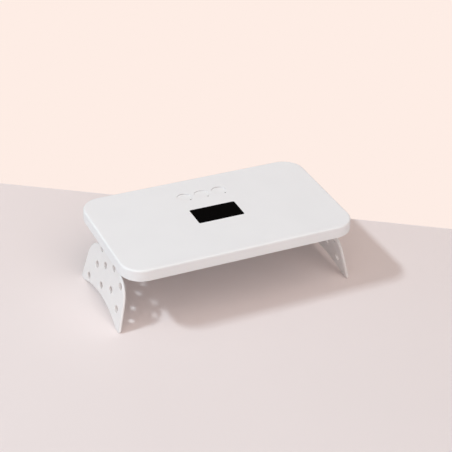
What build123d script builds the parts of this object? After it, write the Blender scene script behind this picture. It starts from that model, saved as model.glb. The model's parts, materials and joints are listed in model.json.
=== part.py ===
"""Folding nail lamp: a slim head on two perforated fold-down legs.

Millimetres. X runs along the head, Y to its back, Z up. The origin is on the floor
under the middle of the head, with the lamp standing on its open legs.
"""

import os
from math import acos, atan2, cos, degrees, radians, sin, sqrt, tan

from build123d import *

os.makedirs("parts", exist_ok=True)

# Head: overall sizes
head_length = 200.0
head_width = 116.0
head_thickness = 10.2
stand_height = 63.0
corner_radius = 18.0
top_edge_radius = 1.6
bottom_edge_chamfer = 0.5
cover_wall = 1.8

# Display window and its seat in the top cover
window_length = 40.1
window_width = 21.4
window_thickness = 1.2
window_corner = 1.2
window_gap = 0.1
window_ledge = 1.5

# Push buttons and the switches under them
button_radius = 6.2
button_pitch = 15.6
button_row_inset = 27.0
button_gap = 0.25
button_rise = -0.4
button_bevel = 0.3
button_wall = 1.0
button_travel = 0.4
flange_overlap = 0.75
flange_thickness = 0.5
flange_gap = 0.05
switch_size = 4.6
switch_height = 1.2
switch_floor = 0.2
plunger_radius = 1.0
plunger_gap = 0.1
plunger_proud = 0.3

# Bottom cover (tray) and its leg wells
tray_gap = 0.15
tray_wall = 1.5
tray_floor = 1.6
well_roof = 1.0
well_clearance = 1.0
well_corner = 8.0
lug_thickness = 3.0
lug_gap = 0.3
stop_gap = 0.1
pocket_clearance = 0.35

# Legs and their hinges
lean_angle = 12.25
leg_thickness = 2.35
leg_edge_chamfer = 0.9
leg_line_y = -1.5
foot_half_width = 44.7
foot_tip_radius = 2.5
foot_inner_radius = 1.5
foot_trim = 0.3
arch_half_width = 36.5
arch_rise = 7.3
shoulder_half_width = 41.1
shoulder_top = 42.1
shoulder_radius = 20.0
neck_half_width = 24.0
neck_fillet = 2.0
leg_hole_radius = 3.0
hinge_inset = 10.85
fold_clearance = 0.05
rod_radius = 1.0
rod_running_gap = 0.05
rod_seat_gap = 0.02
rod_seat_reserve = 0.7

# Centres of the holes through a leg: distance back from its middle, and height along it
leg_holes = [
    (-29.5, 34.8),
    (-30.7, 14.7),
    (-14.4, 22.3),
    (4.4, 14.9),
    (3.8, 33.9),
    (19.0, 26.0),
    (30.4, 8.5),
    (-12.0, 41.0),
    (16.5, 42.5),
]

# Emitters, their reflector plate and board
reflector_thickness = 0.6
reflector_gap = 0.25
reflector_side_gap = 0.2
led_board_thickness = 1.0
led_count_x = 6
led_count_y = 3
led_end_inset = 15.25
led_side_inset = 19.7
led_size = 3.5
led_base_height = 0.6
led_bevel = 0.7
led_recess = 0.2
led_hole_size = 4.5
led_window_ledge = 5.0
press_rib_x = 50.0

# Control board and what stands on it
board_thickness = 1.0
board_gap = 0.6
board_corner = 1.2
board_half_length = 24.5
board_rim_gap = 2.0
board_front_y = -15.0
board_post_inset = 2.5
board_post_back_inset = 9.0
post_radius = 2.2
board_screw_radius = 0.85
board_screw_head_radius = 1.6
board_screw_head_height = 0.5
board_screw_bite = 0.9
screw_bite_gap = 0.02
header_length = 12.0
header_width = 2.5
header_inset = 3.5
display_length = 34.0
display_width = 15.0
display_thickness = 1.8
digit_count = 2
digit_pitch = 12.0
digit_height = 9.0
digit_width = 5.2
segment_width = 1.0
segment_depth = 0.25

# Chips and coils of the control board: place along X, distance in front of the board's back
# edge, then length, width and height
component_rows = {
    "controller_chip": [(0.0, 36.0, 6.0, 4.0, 1.1)],
    "power_inductor": [(-12.5, 5.5, 4.8, 4.8, 1.2)],
    "driver_transistors": [(4.5, 8.0, 3.0, 2.6, 1.0), (9.5, 8.0, 3.0, 2.6, 1.0)],
    "chip_capacitors": [(-8.0, 35.5, 1.6, 0.8, 0.8), (8.0, 35.5, 1.6, 0.8, 0.8), (13.5, 3.5, 2.0, 1.2, 1.0)],
}

# Power inlet
inlet_width = 8.94
inlet_height = 3.16
inlet_depth = 7.4
inlet_shell = 0.3
inlet_gap = 0.3
inlet_recess = 0.8
inlet_tongue_width = 6.7
inlet_tongue_thickness = 0.7
inlet_tongue_length = 5.0
inlet_tab = 1.6

# Cover screws
cover_screw_radius = 1.0
cover_screw_head_radius = 1.9
cover_screw_head_height = 1.2
cover_screw_recess = 0.4
cover_screw_bite = 3.5
cover_screw_past_corner = 2.0
screw_clearance = 0.15
pillar_wall = 0.8
pillar_root = 0.5
cross_slot_width = 0.5
cross_slot_share = 0.65
slot_depth_share = 0.5

# Levels of the head, from the floor up
head_top = stand_height
head_bottom = stand_height - head_thickness
cover_ceiling = head_top - cover_wall
hinge_z = head_bottom + fold_clearance + leg_thickness
hinge_x = head_length / 2 - hinge_inset
reflector_bottom = hinge_z + reflector_gap
roof_bottom = reflector_bottom + reflector_thickness
tray_top = roof_bottom + well_roof
led_board_top = tray_top + led_board_thickness
board_bottom = led_board_top + board_gap
board_top = board_bottom + board_thickness
window_seat = head_top - window_thickness
pocket_roof = hinge_z + leg_thickness + pocket_clearance
housing_top = pocket_roof + well_roof
inlet_z = (board_bottom + board_top) / 2
plunger_top = board_top + switch_height + plunger_proud

# The leg's own plane: heights along it are measured from the floor on its outer face
lean = radians(lean_angle)
axis_height = (hinge_z + leg_thickness * sin(lean)) / cos(lean)
foot_x = hinge_x + axis_height * sin(lean) + leg_thickness * cos(lean)

# Places that follow from the sizes above
well_half_width = foot_half_width + well_clearance
well_end_x = hinge_x - (axis_height - shoulder_top) + well_clearance
lug_start = neck_half_width + lug_gap
lug_end = lug_start + lug_thickness
pocket_half_width = lug_end
tray_half_length = head_length / 2 - cover_wall - tray_gap
tray_half_width = head_width / 2 - cover_wall - tray_gap
tray_corner = corner_radius - cover_wall - tray_gap
pillar_radius = cover_screw_head_radius + screw_clearance + pillar_wall
cover_screw_x = tray_half_length - tray_corner + cover_screw_past_corner
cover_screw_y = tray_half_width - tray_wall - pillar_radius + pillar_root
cover_screw_places = [(end * cover_screw_x, row * cover_screw_y) for end in (-1, 1) for row in (-1, 1)]
button_hole_radius = button_radius + button_gap
button_places = [(step * button_pitch, head_width / 2 - button_row_inset) for step in (-1, 0, 1)]
button_names = ["left", "middle", "right"]
board_back_y = tray_half_width - tray_wall - board_rim_gap
board_post_x = board_half_length - board_post_inset
board_posts = [
    (-board_post_x, board_back_y - board_post_back_inset),
    (board_post_x, board_front_y + board_post_inset),
]
led_reach_x = well_end_x - led_end_inset
led_reach_y = well_half_width - led_side_inset
led_places = [
    (
        led_reach_x * (2 * column / (led_count_x - 1) - 1),
        leg_line_y + led_reach_y * (2 * row / (led_count_y - 1) - 1),
    )
    for column in range(led_count_x)
    for row in range(led_count_y)
]
sides = [("left", -1), ("right", 1)]


def end_plane(y):
    """Upright plane square to the hinge axis, its first axis along X and its second up."""
    return Plane(origin=(0, y, 0), x_dir=(1, 0, 0), z_dir=(0, -1, 0))


def cap_radius(half_width, height):
    """Radius of the arc that rises by height over a half width."""
    return (half_width**2 + height**2) / (2 * height)


# Top cover: the whole visible slab, open below
with BuildPart() as top_cover:
    with BuildSketch(Plane.XY.offset(head_bottom)):
        RectangleRounded(head_length, head_width, corner_radius)
    extrude(amount=head_thickness)
    fillet(top_cover.faces().sort_by(Axis.Z)[-1].edges(), top_edge_radius)
    chamfer(top_cover.faces().sort_by(Axis.Z)[0].edges(), bottom_edge_chamfer)
    with BuildSketch(Plane.XY.offset(head_bottom)):
        RectangleRounded(
            head_length - 2 * cover_wall, head_width - 2 * cover_wall, corner_radius - cover_wall
        )
    extrude(amount=head_thickness - cover_wall, mode=Mode.SUBTRACT)

    # Posts for the cover screws and the control board, and ribs that hold the led board down
    with BuildSketch(Plane.XY.offset(tray_top)):
        with Locations(cover_screw_places):
            Circle(pillar_radius)
    extrude(amount=cover_ceiling - tray_top)
    with BuildSketch(Plane.XY.offset(board_top)):
        with Locations(board_posts):
            Circle(post_radius)
    extrude(amount=cover_ceiling - board_top)
    with BuildSketch(Plane.XY.offset(led_board_top)):
        with GridLocations(2 * press_rib_x, 0, 2, 1):
            Rectangle(tray_wall, well_half_width)
    extrude(amount=cover_ceiling - led_board_top)

    # Blind holes that the screws bite into
    with BuildSketch(Plane.XY.offset(tray_top)):
        with Locations(cover_screw_places):
            Circle(cover_screw_radius + screw_bite_gap)
    extrude(amount=cover_screw_bite + screw_clearance, mode=Mode.SUBTRACT)
    with BuildSketch(Plane.XY.offset(board_top)):
        with Locations(board_posts):
            Circle(board_screw_radius + screw_bite_gap)
    extrude(amount=cover_ceiling - board_top + board_screw_bite, mode=Mode.SUBTRACT)

    # Window seat with its ledge, and the button holes
    with BuildSketch(Plane.XY.offset(window_seat)):
        RectangleRounded(
            window_length + 2 * window_gap, window_width + 2 * window_gap, window_corner + window_gap
        )
    extrude(amount=window_thickness, mode=Mode.SUBTRACT)
    with BuildSketch(Plane.XY.offset(cover_ceiling)):
        Rectangle(window_length - 2 * window_ledge, window_width - 2 * window_ledge)
    extrude(amount=cover_wall, mode=Mode.SUBTRACT)
    with BuildSketch(Plane.XY.offset(cover_ceiling)):
        with Locations(button_places):
            Circle(button_hole_radius)
    extrude(amount=cover_wall, mode=Mode.SUBTRACT)

    # Oblong mouth for the power inlet, through the back side
    with BuildSketch(end_plane(head_width / 2)):
        with Locations((0, inlet_z)):
            SlotOverall(inlet_width + 2 * inlet_gap, inlet_height + 2 * inlet_gap)
    extrude(amount=2 * cover_wall, both=True, mode=Mode.SUBTRACT)
top_cover.part.label = "top_cover"
export_step(top_cover.part, "parts/top_cover.step")

# Display window: a tinted plate flush with the top face
with BuildPart() as display_window:
    with BuildSketch(Plane.XY.offset(window_seat)):
        RectangleRounded(window_length, window_width, window_corner)
    extrude(amount=window_thickness)
display_window.part.label = "display_window"
export_step(display_window.part, "parts/display_window.step")

# Button caps: hollow discs with a retaining flange and a stem over the switch
cap_ceiling = head_top + button_rise - button_wall
flange_top = cover_ceiling - flange_gap
flange_radius = button_hole_radius + flange_overlap
plunger_bottom = board_top + switch_floor + plunger_gap + button_travel
for name, (x, y) in zip(button_names, button_places):
    with BuildPart() as button_cap:
        with BuildSketch(end_plane(y)):
            with BuildLine(Location((x, 0))):
                Polyline(
                    (0, head_top + button_rise),
                    (0, plunger_top),
                    (plunger_radius, plunger_top),
                    (plunger_radius, cap_ceiling),
                    (button_radius - button_wall, cap_ceiling),
                    (button_radius - button_wall, flange_top - flange_thickness),
                    (flange_radius, flange_top - flange_thickness),
                    (flange_radius, flange_top),
                    (button_radius, flange_top),
                    (button_radius, head_top + button_rise - button_bevel),
                    (button_radius - button_bevel, head_top + button_rise),
                    close=True,
                )
            make_face()
        revolve(axis=Axis((x, y, 0), (0, 0, 1)))
    button_cap.part.label = name + "_button"
    export_step(button_cap.part, "parts/" + name + "_button.step")

    with BuildPart() as switch_plunger:
        with BuildSketch(Plane.XY.offset(plunger_bottom)):
            with Locations((x, y)):
                Circle(plunger_radius)
        extrude(amount=plunger_top - plunger_bottom)
    switch_plunger.part.label = name + "_switch_plunger"
    export_step(switch_plunger.part, "parts/" + name + "_switch_plunger.step")

# Switch bodies: square cans with a well for the plunger
with BuildPart() as switch_bodies:
    with BuildSketch(Plane.XY.offset(board_top)):
        with Locations(button_places):
            Rectangle(switch_size, switch_size)
    extrude(amount=switch_height)
    with BuildSketch(Plane.XY.offset(board_top + switch_floor)):
        with Locations(button_places):
            Circle(plunger_radius + plunger_gap)
    extrude(amount=switch_height, mode=Mode.SUBTRACT)
switch_bodies.part.label = "switch_bodies"
export_step(switch_bodies.part, "parts/switch_bodies.step")

# Bottom cover: a tray with T-shaped leg wells, hinge pockets, lugs and screw pillars
with BuildPart() as bottom_cover:
    with BuildSketch(Plane.XY.offset(head_bottom)):
        RectangleRounded(2 * tray_half_length, 2 * tray_half_width, tray_corner)
    extrude(amount=tray_top - head_bottom)

    # Channel behind the rim: it leaves the rim wall, the well walls and the screw pillars
    stop_x = hinge_x + (leg_thickness + stop_gap) / cos(lean)
    pocket_outer_x = stop_x + (hinge_z - head_bottom) * tan(lean) + tray_wall
    with BuildSketch(Plane.XY.offset(head_bottom + tray_floor)):
        RectangleRounded(
            2 * (tray_half_length - tray_wall), 2 * (tray_half_width - tray_wall), tray_corner - tray_wall
        )
        with Locations((0, leg_line_y)):
            RectangleRounded(
                2 * (well_end_x + tray_wall),
                2 * (well_half_width + tray_wall),
                well_corner + tray_wall,
                mode=Mode.SUBTRACT,
            )
            Rectangle(
                2 * pocket_outer_x, 2 * (pocket_half_width + tray_wall), mode=Mode.SUBTRACT
            )
        with Locations(cover_screw_places):
            Circle(pillar_radius, mode=Mode.SUBTRACT)
    extrude(amount=tray_top, mode=Mode.SUBTRACT)

    # Raised roofs over the hinge pockets
    housing_inner_x = hinge_x - leg_thickness - pocket_clearance - well_roof
    with BuildSketch(Plane.XY.offset(tray_top - well_roof)):
        with Locations((0, leg_line_y)):
            with GridLocations(housing_inner_x + pocket_outer_x, 0, 2, 1):
                Rectangle(pocket_outer_x - housing_inner_x, 2 * (pocket_half_width + tray_wall))
    extrude(amount=housing_top - tray_top + well_roof)

    # The well for both folded legs, up to the seat of the reflector plate
    with BuildSketch(Plane.XY.offset(head_bottom)):
        with Locations((0, leg_line_y)):
            RectangleRounded(2 * well_end_x, 2 * well_half_width, well_corner)
    extrude(amount=roof_bottom - head_bottom, mode=Mode.SUBTRACT)

    # Hinge pockets, whose slanted end walls are the stops of the open legs
    for _, side in sides:
        with BuildSketch(end_plane(leg_line_y)):
            with BuildLine():
                Polyline(
                    (side * (stop_x - (head_bottom - hinge_z) * tan(lean)), head_bottom),
                    (side * (stop_x - (pocket_roof - hinge_z) * tan(lean)), pocket_roof),
                    (side * (housing_inner_x + well_roof), pocket_roof),
                    (side * (housing_inner_x + well_roof), roof_bottom),
                    (side * (well_end_x - well_corner), roof_bottom),
                    (side * (well_end_x - well_corner), head_bottom),
                    close=True,
                )
            make_face()
        extrude(amount=pocket_half_width, both=True, mode=Mode.SUBTRACT)

        # Lugs that carry the hinge rod
        for end in (-1, 1):
            with BuildSketch(end_plane(leg_line_y + end * (lug_start + lug_thickness / 2))):
                with Locations((side * hinge_x, hinge_z)):
                    Circle(leg_thickness)
                with Locations((side * hinge_x, (hinge_z + pocket_roof) / 2)):
                    Rectangle(2 * leg_thickness, pocket_roof - hinge_z)
            extrude(amount=lug_thickness / 2, both=True)
        with BuildSketch(end_plane(leg_line_y)):
            with Locations((side * hinge_x, hinge_z)):
                Circle(rod_radius + rod_seat_gap)
        extrude(amount=lug_end + rod_seat_reserve, both=True, mode=Mode.SUBTRACT)

        # Entry for the rod, drilled in from the back before the covers meet
        with BuildSketch(end_plane(leg_line_y + pocket_half_width)):
            with Locations((side * hinge_x, hinge_z)):
                Circle(rod_radius + screw_clearance)
        extrude(amount=-head_width / 2, mode=Mode.SUBTRACT)

    # Window under the emitter board, and holes for the cover screws
    with BuildSketch(Plane.XY.offset(roof_bottom)):
        with Locations((0, leg_line_y)):
            Rectangle(2 * (well_end_x - led_window_ledge), 2 * (well_half_width - led_window_ledge))
    extrude(amount=well_roof, mode=Mode.SUBTRACT)
    with Locations(Plane(origin=(0, 0, head_bottom), x_dir=(1, 0, 0), z_dir=(0, 0, -1))):
        with Locations(cover_screw_places):
            CounterBoreHole(
                cover_screw_radius + screw_clearance,
                cover_screw_head_radius + screw_clearance,
                cover_screw_recess + cover_screw_head_height,
                tray_top - head_bottom,
            )
bottom_cover.part.label = "bottom_cover"
export_step(bottom_cover.part, "parts/bottom_cover.step")

# Reflector plate under the roof of the well
with BuildPart() as reflector_plate:
    with BuildSketch(Plane.XY.offset(reflector_bottom)):
        with Locations((0, leg_line_y)):
            RectangleRounded(
                2 * (well_end_x - reflector_side_gap),
                2 * (well_half_width - reflector_side_gap),
                well_corner - reflector_side_gap,
            )
        with Locations(led_places):
            Rectangle(led_hole_size, led_hole_size, mode=Mode.SUBTRACT)
    extrude(amount=reflector_thickness)
reflector_plate.part.label = "reflector_plate"
export_step(reflector_plate.part, "parts/reflector_plate.step")

# Led board on top of the well's roof
with BuildPart() as led_board:
    with BuildSketch(Plane.XY.offset(tray_top)):
        with Locations((0, leg_line_y)):
            RectangleRounded(2 * well_end_x, 2 * (well_half_width - well_clearance), well_corner)
    extrude(amount=led_board_thickness)
led_board.part.label = "led_board"
export_step(led_board.part, "parts/led_board.step")

# Emitters: square packages with a bevelled lens, reaching down into the plate's windows
led_bottom = reflector_bottom + led_recess
led_base_bottom = tray_top - led_base_height
with BuildPart() as uv_leds:
    with BuildSketch(Plane.XY.offset(led_base_bottom)):
        with Locations(led_places):
            Rectangle(led_size, led_size)
    extrude(amount=led_base_height)
    with BuildSketch(Plane.XY.offset(led_base_bottom)):
        with Locations(led_places):
            Rectangle(led_size, led_size)
    lens_depth = led_base_bottom - led_bottom
    extrude(amount=-lens_depth, taper=degrees(atan2(led_bevel, lens_depth)))
uv_leds.part.label = "uv_leds"
export_step(uv_leds.part, "parts/uv_leds.step")

# Control board, with holes for its screws and a notch for the inlet
inlet_front = head_width / 2 - inlet_recess
inlet_back = inlet_front - inlet_depth
with BuildPart() as control_board:
    with BuildSketch(Plane.XY.offset(board_bottom)):
        with Locations((0, (board_front_y + board_back_y) / 2)):
            RectangleRounded(2 * board_half_length, board_back_y - board_front_y, board_corner)
        with Locations(board_posts):
            Circle(board_screw_radius + screw_clearance, mode=Mode.SUBTRACT)
        with Locations((0, (inlet_back + head_width) / 2 - inlet_gap)):
            Rectangle(inlet_width + 2 * inlet_gap, head_width - inlet_back, mode=Mode.SUBTRACT)
    extrude(amount=board_thickness)
control_board.part.label = "control_board"
export_step(control_board.part, "parts/control_board.step")

# Flat connector between the two boards
with BuildPart() as board_header:
    with BuildSketch(Plane.XY.offset(led_board_top)):
        with Locations((0, board_front_y + header_inset)):
            Rectangle(header_length, header_width)
    extrude(amount=board_gap)
board_header.part.label = "board_header"
export_step(board_header.part, "parts/board_header.step")

# Display module: a block with segment windows sunk into its face
half_digit = digit_height / 2
with BuildPart() as display_module:
    with BuildSketch(Plane.XY.offset(board_top)):
        Rectangle(display_length, display_width)
    extrude(amount=display_thickness)
    with BuildSketch(Plane.XY.offset(board_top + display_thickness - segment_depth)):
        with GridLocations(digit_pitch, 0, digit_count, 1):
            with GridLocations(0, half_digit, 1, 3):
                Rectangle(digit_width, segment_width)
            with GridLocations(digit_width + segment_width, half_digit, 2, 2):
                Rectangle(segment_width, half_digit - 2 * segment_width)
    extrude(amount=segment_depth, mode=Mode.SUBTRACT)
display_module.part.label = "display_module"
export_step(display_module.part, "parts/display_module.step")

# Chips and coils on the control board
for name, blocks in component_rows.items():
    with BuildPart() as component:
        for x, back_inset, length, width, height in blocks:
            with BuildSketch(Plane.XY.offset(board_top)):
                with Locations((x, board_back_y - back_inset)):
                    Rectangle(length, width)
            extrude(amount=height)
    component.part.label = name
    export_step(component.part, "parts/" + name + ".step")

# Power inlet: an oblong metal mouth with a contact tongue, held in the board's notch
with BuildPart() as power_inlet:
    with BuildSketch(end_plane(inlet_front)):
        with Locations((0, inlet_z)):
            SlotOverall(inlet_width, inlet_height)
    extrude(amount=inlet_depth)
    with BuildSketch(end_plane(inlet_front)):
        with Locations((0, inlet_z)):
            SlotOverall(inlet_width - 2 * inlet_shell, inlet_height - 2 * inlet_shell)
    extrude(amount=inlet_depth - inlet_tab, mode=Mode.SUBTRACT)
    with BuildSketch(end_plane(inlet_back + inlet_tab + inlet_tongue_length)):
        with Locations((0, inlet_z)):
            Rectangle(inlet_tongue_width, inlet_tongue_thickness)
    extrude(amount=inlet_tongue_length)
    with BuildSketch(Plane.XY.offset(board_top)):
        with Locations((0, inlet_back + inlet_tab)):
            Rectangle(inlet_width + 2 * inlet_tab, inlet_tab)
    extrude(amount=inlet_shell)
power_inlet.part.label = "power_inlet"
export_step(power_inlet.part, "parts/power_inlet.step")


def screws(places, head_level, head_height, head_radius, radius, length):
    """Screws pointing up, all in one group: heads with a cross slot below, shanks above."""
    with BuildPart() as group:
        for x, y in places:
            with BuildSketch(Plane.XY.offset(head_level)):
                with Locations((x, y)):
                    Circle(head_radius)
            extrude(amount=head_height)
            with BuildSketch(Plane.XY.offset(head_level + head_height)):
                with Locations((x, y)):
                    Circle(radius)
            extrude(amount=length)
            with BuildSketch(Plane.XY.offset(head_level)):
                with Locations((x, y)):
                    Rectangle(2 * cross_slot_share * head_radius, cross_slot_width)
                    Rectangle(cross_slot_width, 2 * cross_slot_share * head_radius)
            extrude(amount=slot_depth_share * head_height, mode=Mode.SUBTRACT)
    return group


# Cover screws through the tray's pillars into the top cover's posts
head_seat = head_bottom + cover_screw_recess + cover_screw_head_height
cover_screws = screws(
    cover_screw_places,
    head_bottom + cover_screw_recess,
    cover_screw_head_height,
    cover_screw_head_radius,
    cover_screw_radius,
    tray_top + cover_screw_bite - head_seat,
)
cover_screws.part.label = "cover_screws"
export_step(cover_screws.part, "parts/cover_screws.step")

# Screws that hold the control board up against its posts
board_screws = screws(
    board_posts,
    board_bottom - board_screw_head_height,
    board_screw_head_height,
    board_screw_head_radius,
    board_screw_radius,
    cover_ceiling - board_bottom + board_screw_bite - screw_clearance,
)
board_screws.part.label = "board_screws"
export_step(board_screws.part, "parts/board_screws.step")

# Legs: the side line of the outline runs from the foot to touch the shoulder's arc
shoulder_y = shoulder_half_width - shoulder_radius
shoulder_z = shoulder_top - shoulder_radius
foot_reach = sqrt((foot_half_width - shoulder_y) ** 2 + shoulder_z**2)
touch_angle = atan2(-shoulder_z, foot_half_width - shoulder_y) + acos(shoulder_radius / foot_reach)
neck_angle = acos((neck_half_width - shoulder_y) / shoulder_radius)
touch_point = (
    shoulder_y + shoulder_radius * cos(touch_angle),
    shoulder_z + shoulder_radius * sin(touch_angle),
)
neck_point = (neck_half_width, shoulder_z + shoulder_radius * sin(neck_angle))
side_slope = (foot_half_width - touch_point[0]) / touch_point[1]
foot_point = (foot_half_width + foot_trim * side_slope, -foot_trim)
arch_radius = cap_radius(arch_half_width, arch_rise)


def is_leg_rim(edge):
    """True on the rim of a leg's outline, away from its barrel and the cut under its feet."""
    middle = leg_plane.to_local_coords(edge.center())
    return leg_edge_chamfer < middle.Y < axis_height - leg_thickness


for name, side in sides:
    leg_plane = Plane(
        origin=(side * foot_x, leg_line_y, 0), x_dir=(0, 1, 0), z_dir=(cos(lean), 0, side * sin(lean))
    )
    with BuildPart() as leg:
        with BuildSketch(leg_plane) as outline:
            with BuildLine():
                Polyline((0, axis_height), (neck_half_width, axis_height), neck_point)
                CenterArc(
                    (shoulder_y, shoulder_z),
                    shoulder_radius,
                    degrees(touch_angle),
                    degrees(neck_angle - touch_angle),
                )
                Polyline(touch_point, foot_point, (0, -foot_trim))
                mirror(about=Plane.YZ)
            make_face()
            with Locations((0, arch_rise - arch_radius)):
                Circle(arch_radius, mode=Mode.SUBTRACT)
            fillet(outline.vertices().group_by(Axis.Y)[0].sort_by(Axis.X)[0::3], foot_tip_radius)
            fillet(outline.vertices().group_by(Axis.Y)[0].sort_by(Axis.X)[1:3], foot_inner_radius)
            for end in (-1, 1):
                neck_corner = outline.vertices().sort_by_distance((end * neck_point[0], neck_point[1]))[0]
                fillet(neck_corner, neck_fillet)
        extrude(amount=-side * leg_thickness)
        chamfer(leg.faces().filter_by(leg_plane).edges().filter_by(is_leg_rim), leg_edge_chamfer)
        with BuildSketch(leg_plane):
            with Locations(leg_holes):
                Circle(leg_hole_radius)
        extrude(amount=-side * leg_thickness, mode=Mode.SUBTRACT)
        split(bisect_by=Plane.XY, keep=Keep.TOP)
        with BuildSketch(end_plane(leg_line_y)):
            with Locations((side * hinge_x, hinge_z)):
                Circle(leg_thickness)
        extrude(amount=neck_half_width, both=True)
        with BuildSketch(end_plane(leg_line_y)):
            with Locations((side * hinge_x, hinge_z)):
                Circle(rod_radius + rod_running_gap)
        extrude(amount=neck_half_width, both=True, mode=Mode.SUBTRACT)
    leg.part.label = name + "_leg"
    export_step(leg.part, "parts/" + name + "_leg.step")

    # Steel rod on which the leg turns, seated in the two lugs
    with BuildPart() as hinge_rod:
        with BuildSketch(end_plane(leg_line_y)):
            with Locations((side * hinge_x, hinge_z)):
                Circle(rod_radius)
        extrude(amount=lug_end, both=True)
    hinge_rod.part.label = name + "_hinge_rod"
    export_step(hinge_rod.part, "parts/" + name + "_hinge_rod.step")
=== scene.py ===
"""Dress the folding nail lamp: finishes, finer small parts, camera and soft studio light.

All lengths are metres in the lamp's own frame: X along the head, Y to its back, Z up from
the floor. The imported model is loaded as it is; new pieces are surfaces worked out on grids.
"""

import json
import logging
from dataclasses import dataclass
from enum import Enum
from math import cos, radians, sin, tau
from typing import Iterable

import bmesh
import bpy
import numpy as np
from mathutils import Matrix, Vector


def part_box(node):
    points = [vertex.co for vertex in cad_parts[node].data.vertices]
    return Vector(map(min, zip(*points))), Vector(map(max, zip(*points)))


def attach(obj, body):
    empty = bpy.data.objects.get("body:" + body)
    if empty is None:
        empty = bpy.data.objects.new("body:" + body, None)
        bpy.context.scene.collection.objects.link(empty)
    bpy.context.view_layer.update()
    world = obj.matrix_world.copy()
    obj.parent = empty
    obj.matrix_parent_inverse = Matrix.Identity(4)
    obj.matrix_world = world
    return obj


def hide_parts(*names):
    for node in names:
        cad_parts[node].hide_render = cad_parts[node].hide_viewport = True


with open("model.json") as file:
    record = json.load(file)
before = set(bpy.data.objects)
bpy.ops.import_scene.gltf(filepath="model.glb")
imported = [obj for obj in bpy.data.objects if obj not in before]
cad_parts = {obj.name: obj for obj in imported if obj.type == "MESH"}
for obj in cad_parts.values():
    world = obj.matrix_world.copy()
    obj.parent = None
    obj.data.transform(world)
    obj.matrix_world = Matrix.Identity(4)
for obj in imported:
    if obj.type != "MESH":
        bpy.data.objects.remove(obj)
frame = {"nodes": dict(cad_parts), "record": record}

LOG = logging.getLogger("nail_lamp")
IMAGE_WIDTH_PX = 452
SENSOR_WIDTH_MM = 36.0
MM = 0.001
NOISE_LOW, NOISE_HIGH = 0.3, 0.7  # most of a noise's values lie between these
COLOUR, VALUE = "NodeSocketColor", "NodeSocketFloat"

RGB = tuple[float, float, float]
Socket = bpy.types.NodeSocket


class Grain(Enum):
    """Direction in which a metal's brushing runs."""

    ALONG_X = (0.06, 1.0, 1.0)
    ALONG_Y = (1.0, 0.06, 1.0)
    ROUND = (1.0, 1.0, 1.0)


class End(Enum):
    """The two ends of the head, each by the word that its nodes' names start with."""

    LEFT = "left"
    RIGHT = "right"


# Surfaces


@dataclass
class Surface:
    """A mesh as whole arrays: points, and faces of four and of three corners."""

    points: np.ndarray
    quads: np.ndarray
    tris: np.ndarray

    def repeated(self, places: np.ndarray) -> "Surface":
        """Copy the surface to each place.

        Args:
            places: one row of X, Y, Z offsets a copy.

        Returns:
            The joined surface. Each copy's points are the first's plus its offset, and its
            faces count on by the number of points before it.
        """
        count = len(self.points)
        points = (self.points[None, :, :] + places[:, None, :]).reshape(-1, 3)
        steps = (np.arange(len(places)) * count)[:, None, None]
        quads = (self.quads[None] + steps).reshape(-1, 4)
        tris = (self.tris[None] + steps).reshape(-1, 3)
        return Surface(points, quads, tris)

    def to_object(self, name: str, sharp_deg: float = 35.0) -> bpy.types.Object:
        """Put the arrays into a mesh object at the origin.

        Args:
            name: the object's and the mesh's name.
            sharp_deg: edges whose faces meet at more than this angle stay sharp.

        Returns:
            The new object, linked to the scene.
        """
        mesh = bpy.data.meshes.new(name)
        corners = np.concatenate([self.quads.ravel(), self.tris.ravel()]).astype(np.int32)
        totals = np.concatenate(
            [np.full(len(self.quads), 4), np.full(len(self.tris), 3)]
        ).astype(np.int32)
        starts = np.concatenate([[0], np.cumsum(totals)[:-1]]).astype(np.int32)
        mesh.vertices.add(len(self.points))
        mesh.vertices.foreach_set("co", self.points.astype(np.float32).ravel())
        mesh.loops.add(len(corners))
        mesh.loops.foreach_set("vertex_index", corners)
        mesh.polygons.add(len(totals))
        mesh.polygons.foreach_set("loop_start", starts)
        mesh.polygons.foreach_set("loop_total", totals)
        mesh.update(calc_edges=True)
        mesh.polygons.foreach_set("use_smooth", np.ones(len(totals), dtype=bool))
        mesh.set_sharp_from_angle(angle=radians(sharp_deg))
        mesh.validate()
        piece = bpy.data.objects.new(name, mesh)
        bpy.context.scene.collection.objects.link(piece)
        return piece


def rounded_path(half_x: float, half_y: float, corner: float, steps: int) -> np.ndarray:
    """Walk once round a rectangle with round corners, anticlockwise seen from above.

    Args:
        half_x: half of its length.
        half_y: half of its width.
        corner: corner radius; equal to both halves it gives a circle.
        steps: number of points on each quarter turn.

    Returns:
        Rows of X, Y, outward X, outward Y. A point is its corner's centre plus the radius
        times the outward direction, whose angle runs evenly through each quarter.
    """
    quarter = np.arange(4)[:, None]
    angle = (quarter + np.arange(steps)[None, :] / (steps - 1)) * tau / 4
    sign_x = np.array([1.0, -1.0, -1.0, 1.0])[:, None]
    sign_y = np.array([1.0, 1.0, -1.0, -1.0])[:, None]
    out_x, out_y = np.cos(angle), np.sin(angle)
    x = sign_x * (half_x - corner) + corner * out_x
    y = sign_y * (half_y - corner) + corner * out_y
    rows = np.stack([x, y, out_x, out_y], axis=-1).reshape(-1, 4)
    if half_x == half_y == corner:
        rows = rows[np.arange(len(rows)) % steps != steps - 1]
    return rows


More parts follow.
